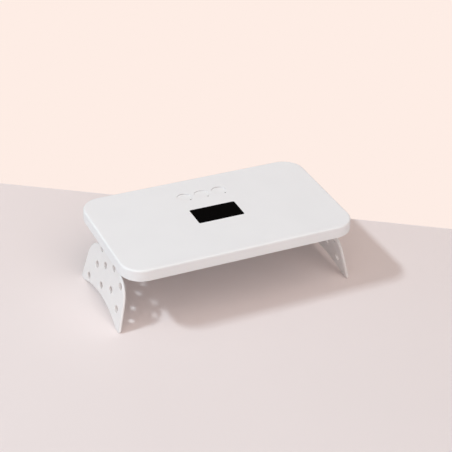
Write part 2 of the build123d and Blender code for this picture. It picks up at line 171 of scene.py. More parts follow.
def ringed(rings: np.ndarray) -> Surface:
    """Join rings of points into a closed surface.

    Args:
        rings: ring by ring, point by point, X, Y, Z; from the lower end to the upper one.

    Returns:
        The surface. Each four neighbours make a face, and the middle of each end ring is
        joined to it by a fan.
    """
    count, around = rings.shape[:2]
    points = rings.reshape(-1, 3)
    ring, step = np.meshgrid(np.arange(count - 1), np.arange(around), indexing="ij")
    ahead = (step + 1) % around
    quads = np.stack(
        [
            ring * around + step,
            ring * around + ahead,
            (ring + 1) * around + ahead,
            (ring + 1) * around + step,
        ],
        axis=-1,
    ).reshape(-1, 4)
    low, high = len(points), len(points) + 1
    points = np.vstack([points, rings[0].mean(axis=0), rings[-1].mean(axis=0)])
    here = np.arange(around)
    there = (here + 1) % around
    top = (count - 1) * around
    tris = np.vstack(
        [
            np.stack([there, here, np.full(around, low)], axis=-1),
            np.stack([top + here, top + there, np.full(around, high)], axis=-1),
        ]
    )
    return Surface(points, quads, tris)


def carried(path: np.ndarray, profile: np.ndarray) -> Surface:
    """Carry a profile round a closed path and close both its ends.

    Args:
        path: rows from rounded_path.
        profile: rows of (inset, height), from the lower end to the upper one, on the way
            that has the solid on its left.

    Returns:
        The closed surface. A point is the path's point less the inset along its outward
        direction, at the profile's height.
    """
    inset, height = profile[:, 0:1], profile[:, 1:2]
    x = path[None, :, 0] - inset * path[None, :, 2]
    y = path[None, :, 1] - inset * path[None, :, 3]
    return ringed(np.stack([x, y, np.broadcast_to(height, x.shape)], axis=-1))


def softened(profile: Iterable[tuple[float, float]], radius: float, steps: int = 4) -> np.ndarray:
    """Round each inner corner of a profile of straight runs.

    Args:
        profile: the corners, as (inset, height).
        radius: length cut from each run at a corner, at most a third of the run.
        steps: points on each rounded corner.

    Returns:
        Rows of (inset, height). A corner becomes a quadratic curve, whose point at share t
        is (1-t)^2 of the entry, 2t(1-t) of the corner and t^2 of the exit.
    """
    corners = np.array(list(profile), dtype=float)
    before = corners[:-2] - corners[1:-1]
    after = corners[2:] - corners[1:-1]
    long_before = np.linalg.norm(before, axis=1, keepdims=True)
    long_after = np.linalg.norm(after, axis=1, keepdims=True)
    cut = np.minimum(radius, np.minimum(long_before, long_after) / 3)
    entry = corners[1:-1] + before / long_before * cut
    leave = corners[1:-1] + after / long_after * cut
    share = np.linspace(0, 1, steps)[None, :, None]
    curve = (
        (1 - share) ** 2 * entry[:, None]
        + 2 * share * (1 - share) * corners[1:-1][:, None]
        + share**2 * leave[:, None]
    )
    return np.vstack([corners[:1], curve.reshape(-1, 2), corners[-1:]])


# Shader effects that several finishes share


class Shading:
    """A node tree with short ways to add and join nodes."""

    def __init__(self, tree: bpy.types.NodeTree) -> None:
        """Work on that tree."""
        self.tree = tree

    def node(self, kind: str, **values: object) -> bpy.types.Node:
        """Add a node.

        Args:
            kind: the node's type name.
            values: properties to set; a name that is an input socket's sets that socket,
                with underscores for spaces.

        Returns:
            The node.
        """
        made = self.tree.nodes.new(kind)
        for key, value in values.items():
            if hasattr(made, key):
                setattr(made, key, value)
            else:
                made.inputs[key.replace("_", " ")].default_value = value
        return made

    def join(self, source: Socket, target: Socket) -> None:
        """Link one socket to another."""
        self.tree.links.new(source, target)

    def noise(self, vector: Socket, scale: float) -> Socket:
        """Add noise, with three finer layers over the coarsest.

        Args:
            vector: the coordinates that it reads.
            scale: its waves a metre.

        Returns:
            The noise's value.
        """
        made = self.node("ShaderNodeTexNoise", Scale=scale, Detail=3.0)
        self.join(vector, made.inputs["Vector"])
        return made.outputs["Fac"]

    def spread(self, value: Socket, low: float, high: float) -> Socket:
        """Spread the middle of a noise value over a range.

        Args:
            value: the noise's value.
            low: what its low values become.
            high: what its high values become.

        Returns:
            The result, which runs straight from low to high in between.
        """
        made = self.node("ShaderNodeMapRange", From_Min=NOISE_LOW, From_Max=NOISE_HIGH)
        made.inputs["To Min"].default_value = low
        made.inputs["To Max"].default_value = high
        self.join(value, made.inputs["Value"])
        return made.outputs["Result"]

    def blend(self, share: Socket, first: Socket, second: Socket) -> Socket:
        """Mix two colours.

        Args:
            share: share of the second colour.
            first: the first colour.
            second: the second colour.

        Returns:
            The mixed colour.
        """
        made = self.node("ShaderNodeMix", data_type="RGBA")
        self.join(share, made.inputs["Factor"])
        colours = [socket for socket in made.inputs if socket.type == "RGBA"]
        self.join(first, colours[0])
        self.join(second, colours[1])
        return next(socket for socket in made.outputs if socket.type == "RGBA")


def new_group(
    name: str, inputs: dict[str, tuple[str, object]], outputs: dict[str, str]
) -> Shading:
    """Start a shader node group.

    Args:
        name: the group's name.
        inputs: socket name to its kind and default value.
        outputs: socket name to its kind.

    Returns:
        The shading helper on the group's tree, with its input and output nodes added.
    """
    tree = bpy.data.node_groups.new(name, "ShaderNodeTree")
    for socket, (kind, default) in inputs.items():
        made = tree.interface.new_socket(socket, in_out="INPUT", socket_type=kind)
        made.default_value = default
    for socket, kind in outputs.items():
        tree.interface.new_socket(socket, in_out="OUTPUT", socket_type=kind)
    shading = Shading(tree)
    shading.node("NodeGroupInput")
    shading.node("NodeGroupOutput")
    return shading


class SharedEffects:
    """The node groups for moulded skin and brushed metal, each built once."""

    def __init__(self) -> None:
        """Build the groups."""
        self.moulded = self._moulded()
        self.brushed = self._brushed()

    @staticmethod
    def _put_out(shading: Shading, share: Socket, pattern: Socket, low: float, high: float) -> None:
        """Join the colour, the roughness and the height to a group's outputs.

        Args:
            shading: helper on the group's tree.
            share: share of the second tone in the colour.
            pattern: the noise that is the height and sets the roughness.
            low: the noise's value where the surface is smoothest.
            high: the noise's value where it is roughest.
        """
        given, result = shading.tree.nodes["Group Input"], shading.tree.nodes["Group Output"]
        colour = shading.blend(share, given.outputs["Tone"], given.outputs["Second Tone"])
        rough = shading.node("ShaderNodeMapRange", From_Min=low, From_Max=high)
        shading.join(pattern, rough.inputs["Value"])
        shading.join(given.outputs["Smoothest"], rough.inputs["To Min"])
        shading.join(given.outputs["Roughest"], rough.inputs["To Max"])
        shading.join(colour, result.inputs["Colour"])
        shading.join(rough.outputs["Result"], result.inputs["Roughness"])
        shading.join(pattern, result.inputs["Height"])

    def _moulded(self) -> bpy.types.NodeTree:
        """Colour that drifts slowly between two tones, with a fine spark-eroded grain.

        Returns:
            The group. Its height is noise in four finer layers, each twice as fine as the
            one before and 0.6 times as strong.
        """
        shading = new_group(
            "moulded_skin",
            {
                "Tone": (COLOUR, (0.8, 0.8, 0.8, 1.0)),
                "Second Tone": (COLOUR, (0.75, 0.75, 0.75, 1.0)),
                "Drift Scale": (VALUE, 30.0),
                "Grain Scale": (VALUE, 1500.0),
                "Smoothest": (VALUE, 0.3),
                "Roughest": (VALUE, 0.4),
            },
            {"Colour": COLOUR, "Roughness": VALUE, "Height": VALUE},
        )
        given = shading.tree.nodes["Group Input"]
        place = shading.node("ShaderNodeTexCoord").outputs["Object"]
        drift = shading.node("ShaderNodeTexNoise", Detail=2.0)
        shading.join(place, drift.inputs["Vector"])
        shading.join(given.outputs["Drift Scale"], drift.inputs["Scale"])
        share = shading.spread(drift.outputs["Fac"], 0.0, 1.0)
        grain = shading.node("ShaderNodeTexNoise", Detail=4.0, Roughness=0.6)
        shading.join(place, grain.inputs["Vector"])
        shading.join(given.outputs["Grain Scale"], grain.inputs["Scale"])
        self._put_out(shading, share, grain.outputs["Fac"], low=0.35, high=0.65)
        return shading.tree

    def _brushed(self) -> bpy.types.NodeTree:
        """Fine streaks along one direction, in colour, roughness and height.

        Returns:
            The group. The streaks are noise on coordinates squeezed along the brushing.
        """
        shading = new_group(
            "brushed_metal",
            {
                "Tone": (COLOUR, (0.6, 0.6, 0.6, 1.0)),
                "Second Tone": (COLOUR, (0.5, 0.5, 0.5, 1.0)),
                "Squeeze": ("NodeSocketVector", (1.0, 1.0, 1.0)),
                "Streak Scale": (VALUE, 4000.0),
                "Smoothest": (VALUE, 0.2),
                "Roughest": (VALUE, 0.35),
            },
            {"Colour": COLOUR, "Roughness": VALUE, "Height": VALUE},
        )
        given = shading.tree.nodes["Group Input"]
        place = shading.node("ShaderNodeTexCoord").outputs["Object"]
        squeezed = shading.node("ShaderNodeVectorMath", operation="MULTIPLY")
        shading.join(place, squeezed.inputs[0])
        shading.join(given.outputs["Squeeze"], squeezed.inputs[1])
        streak = shading.node("ShaderNodeTexNoise", Detail=5.0, Roughness=0.65)
        shading.join(squeezed.outputs["Vector"], streak.inputs["Vector"])
        shading.join(given.outputs["Streak Scale"], streak.inputs["Scale"])
        share = shading.spread(streak.outputs["Fac"], 0.0, 1.0)
        self._put_out(shading, share, streak.outputs["Fac"], NOISE_LOW, NOISE_HIGH)
        return shading.tree


# Finishes


def rgba(colour: RGB) -> tuple[float, float, float, float]:
    """Add a full alpha to a colour."""
    return (*colour, 1.0)


def new_material(name: str) -> tuple[bpy.types.Material, Shading, bpy.types.Node]:
    """Start a node material.

    Args:
        name: the material's name.

    Returns:
        The material, the shading helper on its tree and its Principled BSDF.
    """
    material = bpy.data.materials.new(name)
    material.use_nodes = True
    shading = Shading(material.node_tree)
    return material, shading, material.node_tree.nodes["Principled BSDF"]


def relief(shading: Shading, height: Socket, bsdf: bpy.types.Node, depth: float) -> None:
    """Feed a height to the shader's normal through a bump.

    Args:
        shading: helper on the material's tree.
        height: the height, 0 to 1.
        bsdf: the shader.
        depth: distance in metres that the full height stands for.
    """
    bump = shading.node("ShaderNodeBump", Strength=1.0, Distance=depth)
    shading.join(height, bump.inputs["Height"])
    shading.join(bump.outputs["Normal"], bsdf.inputs["Normal"])


@dataclass(frozen=True)
class MouldedPlastic:
    """Opaque moulded plastic with a fine grain and a slow drift of tone."""

    name: str
    tone: RGB
    second_tone: RGB
    smoothest: float = 0.32
    roughest: float = 0.42
    grain_mm: float = 0.5
    grain_depth: float = 4e-6
    drift_mm: float = 35.0

    def build(self, effects: SharedEffects) -> bpy.types.Material:
        """Make the material.

        Args:
            effects: the shared groups, of which it wears the moulded skin.

        Returns:
            The material.
        """
        material, shading, bsdf = new_material(self.name)
        skin = shading.node(
            "ShaderNodeGroup",
            node_tree=effects.moulded,
            Tone=rgba(self.tone),
            Second_Tone=rgba(self.second_tone),
            Drift_Scale=1 / (self.drift_mm * MM),
            Grain_Scale=1 / (self.grain_mm * MM),
            Smoothest=self.smoothest,
            Roughest=self.roughest,
        )
        shading.join(skin.outputs["Colour"], bsdf.inputs["Base Color"])
        shading.join(skin.outputs["Roughness"], bsdf.inputs["Roughness"])
        relief(shading, skin.outputs["Height"], bsdf, self.grain_depth)
        return material


@dataclass(frozen=True)
class BrushedMetal:
    """Metal with fine streaks along one direction."""

    name: str
    tone: RGB
    second_tone: RGB
    grain: Grain
    smoothest: float = 0.22
    roughest: float = 0.36
    streak_mm: float = 0.25
    streak_depth: float = 2e-6

    def build(self, effects: SharedEffects) -> bpy.types.Material:
        """Make the material.

        Args:
            effects: the shared groups, of which it wears the brushed metal.

        Returns:
            The material.
        """
        material, shading, bsdf = new_material(self.name)
        metal = shading.node(
            "ShaderNodeGroup",
            node_tree=effects.brushed,
            Tone=rgba(self.tone),
            Second_Tone=rgba(self.second_tone),
            Squeeze=self.grain.value,
            Streak_Scale=1 / (self.streak_mm * MM),
            Smoothest=self.smoothest,
            Roughest=self.roughest,
        )
        shading.join(metal.outputs["Colour"], bsdf.inputs["Base Color"])
        shading.join(metal.outputs["Roughness"], bsdf.inputs["Roughness"])
        relief(shading, metal.outputs["Height"], bsdf, self.streak_depth)
        bsdf.inputs["Metallic"].default_value = 1.0
        return material


@dataclass(frozen=True)
class TintedAcrylic:
    """Black acrylic sheet: very smooth, with faint wiping marks in its gloss."""

    name: str
    tone: RGB
    second_tone: RGB
    gloss: float = 0.005
    smoothest: float = 0.08
    roughest: float = 0.14
    drift_scale: float = 120.0
    wipe_scale: float = 260.0

    def build(self, effects: SharedEffects) -> bpy.types.Material:
        """Make the material.

        Args:
            effects: the shared groups, of which it wears the moulded skin.

        Returns:
            The material. The wiping marks are the skin's noise, made wide, in its roughness.
        """
        material, shading, bsdf = new_material(self.name)
        skin = shading.node(
            "ShaderNodeGroup",
            node_tree=effects.moulded,
            Tone=rgba(self.tone),
            Second_Tone=rgba(self.second_tone),
            Drift_Scale=self.drift_scale,
            Grain_Scale=self.wipe_scale,
            Smoothest=self.smoothest,
            Roughest=self.roughest,
        )
        shading.join(skin.outputs["Colour"], bsdf.inputs["Base Color"])
        shading.join(skin.outputs["Roughness"], bsdf.inputs["Roughness"])
        bsdf.inputs["Specular IOR Level"].default_value = self.gloss
        return material


@dataclass(frozen=True)
class CoatedBoard:
    """Circuit board: a coat over tracks that show as slightly raised, lighter runs."""

    name: str
    coat_tone: RGB
    track_tone: RGB
    track_mm: float = 2.2
    track_width: float = 0.06
    cell_length: float = 2.6
    cell_width: float = 0.5
    track_depth: float = 1.5e-5
    smoothest: float = 0.3
    roughest: float = 0.45
    mottle_scale: float = 900.0

    def build(self, effects: SharedEffects) -> bpy.types.Material:
        """Make the material.

        Args:
            effects: the shared groups, of which it needs none.

        Returns:
            The material. The tracks are the joints between long cells, laid as bricks are.
        """
        material, shading, bsdf = new_material(self.name)
        place = shading.node("ShaderNodeTexCoord").outputs["Object"]
        cells = shading.node(
            "ShaderNodeTexBrick",
            Color1=rgba(self.coat_tone),
            Color2=rgba(self.coat_tone),
            Mortar=rgba(self.track_tone),
            Scale=1 / (self.track_mm * MM),
            Mortar_Size=self.track_width,
            Brick_Width=self.cell_length,
            Row_Height=self.cell_width,
        )
        shading.join(place, cells.inputs["Vector"])
        shading.join(cells.outputs["Color"], bsdf.inputs["Base Color"])
        mottle = shading.noise(place, self.mottle_scale)
        rough = shading.spread(mottle, self.smoothest, self.roughest)
        shading.join(rough, bsdf.inputs["Roughness"])
        relief(shading, cells.outputs["Fac"], bsdf, self.track_depth)
        return material


@dataclass(frozen=True)
class ClearLens:
    """Cast clear silicone over an emitter."""

    name: str
    tone: RGB
    refraction: float = 1.42
    smoothest: float = 0.04
    roughest: float = 0.1
    mottle_scale: float = 2500.0

    def build(self, effects: SharedEffects) -> bpy.types.Material:
        """Make the material.

        Args:
            effects: the shared groups, of which it needs none.

        Returns:
            The material. It is clear, with a roughness that varies a little.
        """
        material, shading, bsdf = new_material(self.name)
        place = shading.node("ShaderNodeTexCoord").outputs["Object"]
        mottle = shading.noise(place, self.mottle_scale)
        rough = shading.spread(mottle, self.smoothest, self.roughest)
        shading.join(rough, bsdf.inputs["Roughness"])
        bsdf.inputs["Base Color"].default_value = rgba(self.tone)
        bsdf.inputs["Transmission Weight"].default_value = 1.0
        bsdf.inputs["IOR"].default_value = self.refraction
        return material


@dataclass
class Finishes:
    """All finishes of the lamp, by the record's slot or by the small part that wears them."""

    effects: SharedEffects

    def __post_init__(self) -> None:
        """Build every material once."""
        listed = [
            MouldedPlastic(
                "cover_plastic", (0.879, 0.884, 0.886), (0.862, 0.867, 0.869), 0.5, 0.6
            ),
            MouldedPlastic("tray_plastic", (0.8, 0.795, 0.79), (0.775, 0.77, 0.765), grain_mm=0.7),
            MouldedPlastic(
                "leg_plastic", (0.86, 0.84, 0.825), (0.84, 0.82, 0.805), 0.45, 0.55, 0.6
            ),
            MouldedPlastic(
                "button_plastic", (0.879, 0.884, 0.886), (0.864, 0.869, 0.871), 0.4, 0.5
            ),
            MouldedPlastic("smoked_plastic", (0.03, 0.029, 0.03), (0.045, 0.044, 0.045), 0.2, 0.3),
            MouldedPlastic("display_block", (0.05, 0.05, 0.055), (0.065, 0.065, 0.07)),
            MouldedPlastic("package_plastic", (0.82, 0.81, 0.78), (0.76, 0.75, 0.72), 0.4, 0.55),
            MouldedPlastic("emitter_chip", (0.75, 0.66, 0.28), (0.66, 0.56, 0.2), 0.3, 0.5, 0.2),
            MouldedPlastic("black_plastic", (0.02, 0.02, 0.022), (0.03, 0.03, 0.032), 0.4, 0.6),
            MouldedPlastic("ferrite", (0.11, 0.11, 0.12), (0.15, 0.15, 0.16), 0.5, 0.75, 0.3),
            MouldedPlastic("ceramic", (0.62, 0.5, 0.36), (0.52, 0.41, 0.29), 0.3, 0.5, 0.3),
            BrushedMetal(
                "reflector", (0.86, 0.86, 0.87), (0.74, 0.74, 0.76), Grain.ALONG_X, 0.16, 0.3
            ),
            BrushedMetal("steel", (0.62, 0.62, 0.63), (0.5, 0.5, 0.52), Grain.ALONG_Y),
            BrushedMetal("screw_steel", (0.56, 0.56, 0.57), (0.42, 0.42, 0.44), Grain.ROUND),
            TintedAcrylic("window_acrylic", (0.0007, 0.0007, 0.0008), (0.001, 0.001, 0.0011)),
            CoatedBoard("circuit_board", (0.015, 0.14, 0.05), (0.04, 0.24, 0.1)),
            CoatedBoard("led_board", (0.8, 0.8, 0.78), (0.7, 0.7, 0.66), track_mm=3.0),
            ClearLens("emitter_lens", (0.97, 0.96, 0.9)),
        ]
        self.made = {finish.name: finish.build(self.effects) for finish in listed}

    def dress(self, piece: bpy.types.Object, name: str) -> None:
        """Give a piece one finish in place of what it has."""
        piece.data.materials.clear()
        piece.data.materials.append(self.made[name])


# The lamp's sub-assemblies


@dataclass
class PackedNodes:
    """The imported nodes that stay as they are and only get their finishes."""

    finishes: Finishes

    def dress(self) -> None:
        """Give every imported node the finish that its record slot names."""
        for entry in frame["record"]["subparts"]:
            piece = frame["nodes"][entry["node"]]
            self.finishes.dress(piece, entry["material_slot"])
            LOG.info("node %s wears %s", entry["node"], entry["material_slot"])


@dataclass
class PushButton:
    """One push button's cap: a shallow tilted dish with a small dark insert in a notch of its edge.
    """

    name: str
    finishes: Finishes
    flange_thickness: float = 0.0005
    rim_share: float = 0.86
    rim_round: float = 0.0005
    rim_steps: int = 6
    dish: float = 0.00028
    dish_rings: int = 15
    eye_share: float = 0.02
    rise: float = 0.0002
    drop: float = 0.00045
    tilt_turn_deg: float = 82.0
    side_gap: float = 0.00012
    low_gap: float = 0.00046
    hole_radius: float = 0.00645
    insert_turn_deg: float = -47.0
    insert_radius: float = 0.00058
    insert_reach: float = 0.00585
    insert_foot: float = 0.0004
    insert_top_share: float = 0.9
    insert_round_share: float = 0.4
    notch_width_share: float = 1.4
    quarter_points: int = 60
    sharp_deg: float = 50.0

    def build(self) -> None:
        """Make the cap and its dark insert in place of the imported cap, on its body."""
        low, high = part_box(self.name)
        foot, stem_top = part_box(self.name.replace("button", "switch_plunger"))
        middle = np.array([[(low.x + high.x) / 2, (low.y + high.y) / 2, 0.0]])
        cap = self._cap((high.x - low.x) / 2, (stem_top.x - foot.x) / 2, low.z, high.z)
        insert = self._insert(low.z, high.z)
        # the insert is a separate small part in dark smoked plastic, standing in the notch of the
        # cap's edge
        parts = ((cap, "_cap", "button_plastic"), (insert, "_dark_insert", "smoked_plastic"))
        for surface, ending, finish in parts:
            piece = surface.repeated(middle).to_object(self.name + ending, self.sharp_deg)
            self.finishes.dress(piece, finish)
            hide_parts(self.name)
            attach(piece, self.name)
            LOG.info("%s: %d points", piece.name, len(piece.data.vertices))

    def _outline(self, turn: np.ndarray) -> tuple[np.ndarray, np.ndarray]:
        """Outer radius of the cap at each angle, and how deep the insert's notch cuts into it.

        Args:
            turn: angles from +X towards +Y, in radians.

        Returns:
            Two arrays. The radius is the hole's less the gap, and the gap grows from the side
            gap by the low gap times the sixth power of the cosine from the low side. The
            notch falls off with the fourth power of the angle from the dark insert, in an
            exponential, and is as deep as the insert reaches in.
        """
        towards_low = np.clip(np.cos(turn - radians(self.tilt_turn_deg)), 0, 1)
        gap = self.side_gap + self.low_gap * towards_low**6
        away = np.angle(np.exp(1j * (turn - radians(self.insert_turn_deg))))
        width = self.notch_width_share * self.insert_radius / self.insert_reach
        depth = self.hole_radius - self.insert_reach + self.insert_radius
        return self.hole_radius - gap, depth * np.exp(-((away / width) ** 4))

    def _cap(self, flange: float, stem: float, low: float, high: float) -> Surface:
        """Carry the cap's profile round its uneven outline.

        Args:
            flange: outer radius of the flange.
            stem: radius of the stem over the switch.
            low: lowest height, under the flange.
            high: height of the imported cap's rim.

        Returns:
            The cap. Its profile runs from under the flange up the side and in over the top,
            and the notch fades inwards with the fourth power of the share of the radius. The
            top lies under the rim by the dish times one less the squared share. The rim
            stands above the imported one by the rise, less the drop times the share of the way
            towards the low side.
        """
        path = rounded_path(flange, flange, flange, self.quarter_points)
        turn = np.arctan2(path[:, 3], path[:, 2])
        outer, notch = self._outline(turn)
        flange_top = low + self.flange_thickness
        corners = [(1.0, flange_top), (1.0, high), (self.rim_share, high)]
        side = softened(corners, self.rim_round, self.rim_steps)
        inwards = np.linspace(self.rim_share, self.eye_share, self.dish_rings + 1)[1:]
        share = np.concatenate([side[:, 0], inwards])
        height = np.concatenate([side[:, 1], np.full(self.dish_rings, high)])
        dish = self.dish * np.clip(1 - (share / self.rim_share) ** 2, 0, 1)
        flat = np.ones((1, len(path)))
        shell = share[:, None] * (outer[None, :] - notch[None, :] * share[:, None] ** 4)
        radius = np.vstack([stem * flat, flange * flat, flange * flat, shell])
        flange_levels = [low, low, flange_top]
        level = np.concatenate([flange_levels, height - dish])[:, None]
        across = radius * np.cos(turn - radians(self.tilt_turn_deg))[None, :] / self.hole_radius
        moved = self.rise - self.drop * (0.5 + 0.5 * across)
        moved[: len(flange_levels) + 1] = 0.0  # the flange and the foot of the side stay level
        x, y = radius * path[None, :, 2], radius * path[None, :, 3]
        return ringed(np.stack([x, y, level + moved], axis=-1))

    def _insert(self, low: float, high: float) -> Surface:
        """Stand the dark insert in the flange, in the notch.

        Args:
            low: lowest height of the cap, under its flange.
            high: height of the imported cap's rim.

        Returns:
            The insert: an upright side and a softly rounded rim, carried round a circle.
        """
        radius, turn = self.insert_radius, radians(self.insert_turn_deg)
        foot, inset = low + self.insert_foot, radius * self.insert_top_share
        corners = [(0.0, foot), (0.0, high), (inset, high)]
        profile = softened(corners, radius * self.insert_round_share, steps=5)
        place = np.array([[self.insert_reach * cos(turn), self.insert_reach * sin(turn), 0.0]])
        return carried(rounded_path(radius, radius, radius, steps=6), profile).repeated(place)


@dataclass
class FoldingLeg:
    """One leg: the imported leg's own shape with every rim of its plate and holes rounded."""

    end: End
    finishes: Finishes
    hinge_reach: float = 0.0045
    floor_gap: float = 0.00001
    hole_round: float = 0.00105
    hole_angles_deg: tuple[float, float] = (60.0, 120.0)
    rim_round: float = 0.0004
    rim_angles_deg: tuple[float, float] = (30.0, 60.0)
    rounding_steps: int = 4
    merge_gap: float = 2e-6
    flat_deg: float = 1.0
    sharp_deg: float = 35.0

    def __post_init__(self) -> None:
        """Find the hinge's middle from the rod."""
        low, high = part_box(self.end.value + "_hinge_rod")
        self.hinge = (low + high) / 2

    def build(self) -> None:
        """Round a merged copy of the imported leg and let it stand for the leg."""
        name = self.end.value + "_leg"
        form = bmesh.new()
        form.from_mesh(frame["nodes"][name].data)
        bmesh.ops.remove_doubles(form, verts=form.verts, dist=self.merge_gap)
        bmesh.ops.dissolve_limit(
            form, angle_limit=radians(self.flat_deg), verts=form.verts, edges=form.edges
        )
        self._round(form, self.hole_angles_deg, self.hole_round)
        self._round(form, self.rim_angles_deg, self.rim_round)
        mesh = bpy.data.meshes.new(name + "_shell")
        form.to_mesh(mesh)
        form.free()
        mesh.polygons.foreach_set("use_smooth", np.ones(len(mesh.polygons), dtype=bool))
        mesh.set_sharp_from_angle(angle=radians(self.sharp_deg))
        piece = bpy.data.objects.new(name + "_shell", mesh)
        bpy.context.scene.collection.objects.link(piece)
        even = piece.modifiers.new("even_normals", "WEIGHTED_NORMAL")
        even.keep_sharp = True
        self.finishes.dress(piece, "leg_plastic")
        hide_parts(name)
        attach(piece, name)
        LOG.info("%s: %d faces", piece.name, len(mesh.polygons))

    def _round(
        self, form: bmesh.types.BMesh, angles_deg: tuple[float, float], width: float
    ) -> None:
        """Round the edges of the plate whose faces meet within a range of angles.

        Args:
            form: the leg.
            angles_deg: least and greatest angle between the two faces' normals.
            width: how far the rounding reaches over each face.
        """
        least, most = (radians(angle) for angle in angles_deg)
        edges = [
            edge
            for edge in form.edges
            if len(edge.link_faces) == 2
            and least < edge.calc_face_angle(0.0) < most
            and all(self._on_plate(vert.co) for vert in edge.verts)
        ]
        bmesh.ops.bevel(
            form,
            geom=edges,
            offset=width,
            offset_type="OFFSET",
            segments=self.rounding_steps,
            profile=0.5,
            affect="EDGES",
            clamp_overlap=True,
        )

    def _on_plate(self, point: Vector) -> bool:
        """True away from the hinge and from the flats on the floor."""
        reach = Vector((point.x - self.hinge.x, point.z - self.hinge.z)).length
        return reach > self.hinge_reach and point.z > self.floor_gap


@dataclass
class EmitterField:
    """The emitters under the head: square packages, each with a chip and a domed lens."""

    finishes: Finishes
    columns: int = 6
    rows: int = 3
    package: float = 0.0035
    package_height: float = 0.0006
    package_corner: float = 0.001
    face_inset: float = 0.0008
    bevel: float = 0.0002
    chip: float = 0.0011
    chip_corner: float = 0.0001
    chip_proud: float = 0.00015
    chip_sunk: float = 0.0001
    dome_radius: float = 0.00145
    dome_sunk: float = 0.00005
    dome_rings: int = 12
    dome_eye_share: float = 0.02
    dome_edge_share: float = 0.999

    def build(self) -> None:
        """Make the packages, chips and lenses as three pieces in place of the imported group."""
        low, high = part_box("uv_leds")
        places = self._places(low, high)
        parts = (
            ("emitter_packages", self._package(high.z), "package_plastic"),
            ("emitter_chips", self._chip(high.z), "emitter_chip"),
            ("emitter_domes", self._dome(low.z, high.z), "emitter_lens"),
        )
        for name, surface, finish in parts:
            piece = surface.repeated(places).to_object(name)
            self.finishes.dress(piece, finish)
            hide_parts("uv_leds")
            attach(piece, "head")
            LOG.info("%s: %d copies", name, len(places))

    def _places(self, low: Vector, high: Vector) -> np.ndarray:
        """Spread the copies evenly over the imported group's box.

        Args:
            low: the box's lowest corner.
            high: its highest corner.

        Returns:
            One row of X, Y, Z offsets a copy.
        """
        half = self.package / 2
        x = np.linspace(low.x + half, high.x - half, self.columns)
        y = np.linspace(low.y + half, high.y - half, self.rows)
        grid_x, grid_y = np.meshgrid(x, y, indexing="ij")
        return np.stack([grid_x, grid_y, np.zeros_like(grid_x)], axis=-1).reshape(-1, 3)

    def _package(self, top: float) -> Surface:
        """Make one package.

        Args:
            top: height of its upper face, on the board.

        Returns:
            A bevelled side, carried round a square with round corners.
        """
        bottom = top - self.package_height
        half, inset = self.package / 2, self.face_inset
        corners = [(inset, bottom), (0.0, bottom), (0.0, top), (inset, top)]
        path = rounded_path(half, half, self.package_corner, steps=5)
        return carried(path, softened(corners, self.bevel))

    def _chip(self, top: float) -> Surface:
        """Make one chip.

        Args:
            top: height of the package's upper face.

        Returns:
            A low side, carried round a square on the package's lower face.
        """
        bottom = top - self.package_height
        half = self.chip / 2
        profile = np.array([(0.0, bottom - self.chip_proud), (0.0, bottom + self.chip_sunk)])
        return carried(rounded_path(half, half, self.chip_corner, steps=3), profile)

    def _dome(self, lowest: float, top: float) -> Surface:
        """Make one domed lens.

        Args:
            lowest: height of the dome's tip.
            top: height of the package's upper face.

        Returns:
            The dome, carried round a circle. Its depth under the package falls off with the
            share of the radius, as the root of one less the share's square.
        """
        bottom = top - self.package_height
        radius = self.dome_radius
        share = np.linspace(self.dome_eye_share, 1.0, self.dome_rings)
        fall = np.sqrt(1 - (share * self.dome_edge_share) ** 2)
        profile = np.stack([radius * (1 - share), bottom - (bottom - lowest) * fall], axis=-1)
        profile = np.vstack([profile, [[0.0, bottom + self.dome_sunk]]])
        return carried(rounded_path(radius, radius, radius, steps=8), profile)


# Camera, light and floor


@dataclass
class Viewpoint:
    """The photograph's camera: its angles, what it looks at, and its focal length."""

    focal_px: float = 1314.67
    yaw_deg: float = 25.4768
    pitch_deg: float = 32.0615
    roll_deg: float = -1.9274
    target: tuple[float, float, float] = (0.041284, 0.068577, 0.0)
    distance: float = 1.173956
    clip_end: float = 50.0

    def place(self) -> bpy.types.Object:
        """Make the camera.

        Returns:
            The camera. It looks along the yaw and pitch, turned about its own axis by the
            roll, from the distance behind the target.
        """
        turns_deg = (self.yaw_deg, self.pitch_deg, self.roll_deg)
        yaw, pitch, roll = (radians(turn_deg) for turn_deg in turns_deg)
        ahead = Vector((sin(yaw) * cos(pitch), cos(yaw) * cos(pitch), -sin(pitch)))
        level = ahead.cross(Vector((0, 0, 1))).normalized()
        down = ahead.cross(level)
        right = cos(roll) * level + sin(roll) * down
        up = sin(roll) * level - cos(roll) * down
        camera_data = bpy.data.cameras.new("camera")
        camera_data.sensor_width = SENSOR_WIDTH_MM
        camera_data.lens = self.focal_px * SENSOR_WIDTH_MM / IMAGE_WIDTH_PX
        camera_data.clip_end = self.clip_end
        camera = bpy.data.objects.new("camera", camera_data)
        bpy.context.scene.collection.objects.link(camera)
        turn = Matrix((right, up, -ahead)).transposed().to_4x4()
        stand = Vector(self.target) - ahead * self.distance
        camera.matrix_world = Matrix.Translation(stand) @ turn
        bpy.context.scene.camera = camera
        return camera


